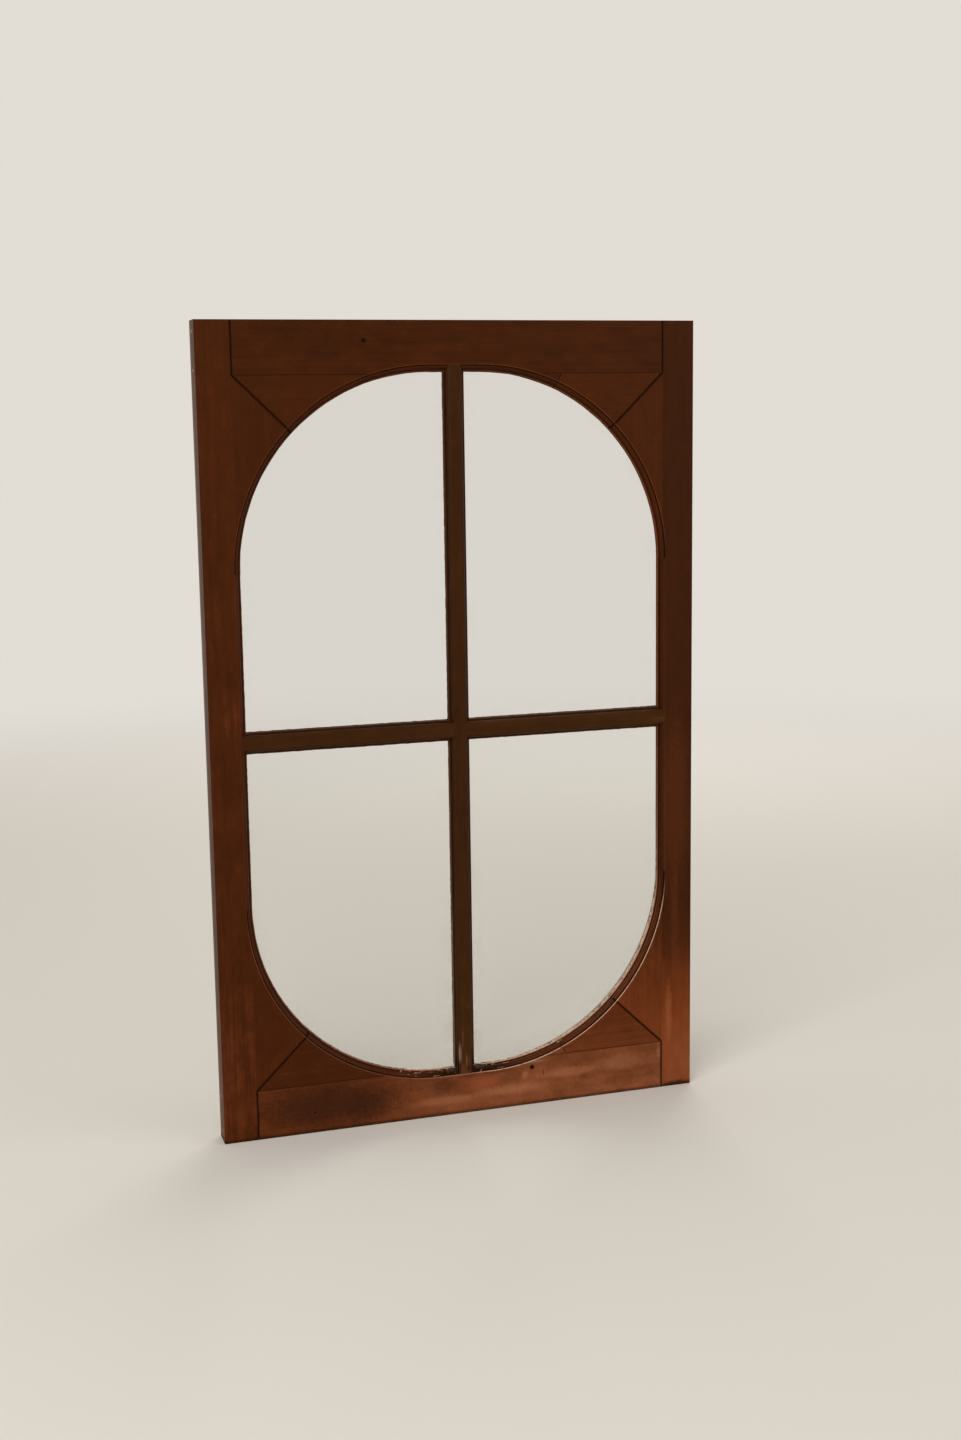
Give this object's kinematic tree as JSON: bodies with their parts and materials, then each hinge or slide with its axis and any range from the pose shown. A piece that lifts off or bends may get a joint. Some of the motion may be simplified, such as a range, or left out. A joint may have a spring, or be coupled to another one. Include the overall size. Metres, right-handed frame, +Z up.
{
  "type": "oval window",
  "caption": "Fixed timber window: a rectangular frame round an upright oval light, with moulded glazing bars and puttied glass, for setting in a wall opening.",
  "frame": {"origin": "middle of the frame's bottom edge, at half the frame's depth", "axes": "+X to the right seen from the room, +Y from the room to the weather side, +Z up"},
  "size_m": [0.674, 0.035, 1.076],
  "materials": {
    "varnished_wood": "old reddish-brown varnish, worn and bleached in places",
    "wedge_wood": "bare end grain",
    "window_glass": "clear, slightly uneven",
    "putty": "dry, weathered",
    "sprig_steel": "dull"
  },
  "bodies": {
    "root": {"right_stile": "varnished_wood", "left_stile": "varnished_wood", "bottom_rail": "varnished_wood", "top_rail": "varnished_wood", "vertical_bar": "varnished_wood", "right_cross_bar": "varnished_wood", "left_cross_bar": "varnished_wood", "stile_block_bottom_right": "varnished_wood", "stile_block_bottom_left": "varnished_wood", "stile_block_top_right": "varnished_wood", "stile_block_top_left": "varnished_wood", "rail_block_bottom_right": "varnished_wood", "rail_block_bottom_left": "varnished_wood", "rail_block_top_right": "varnished_wood", "rail_block_top_left": "varnished_wood", "tenon_wedges": "wedge_wood", "glazing_sprigs": "sprig_steel", "pane_bottom_right": "window_glass", "pane_bottom_left": "window_glass", "pane_top_right": "window_glass", "pane_top_left": "window_glass", "putty_bottom_right": "putty", "putty_bottom_left": "putty", "putty_top_right": "putty", "putty_top_left": "putty"}
  },
  "joints": []
}
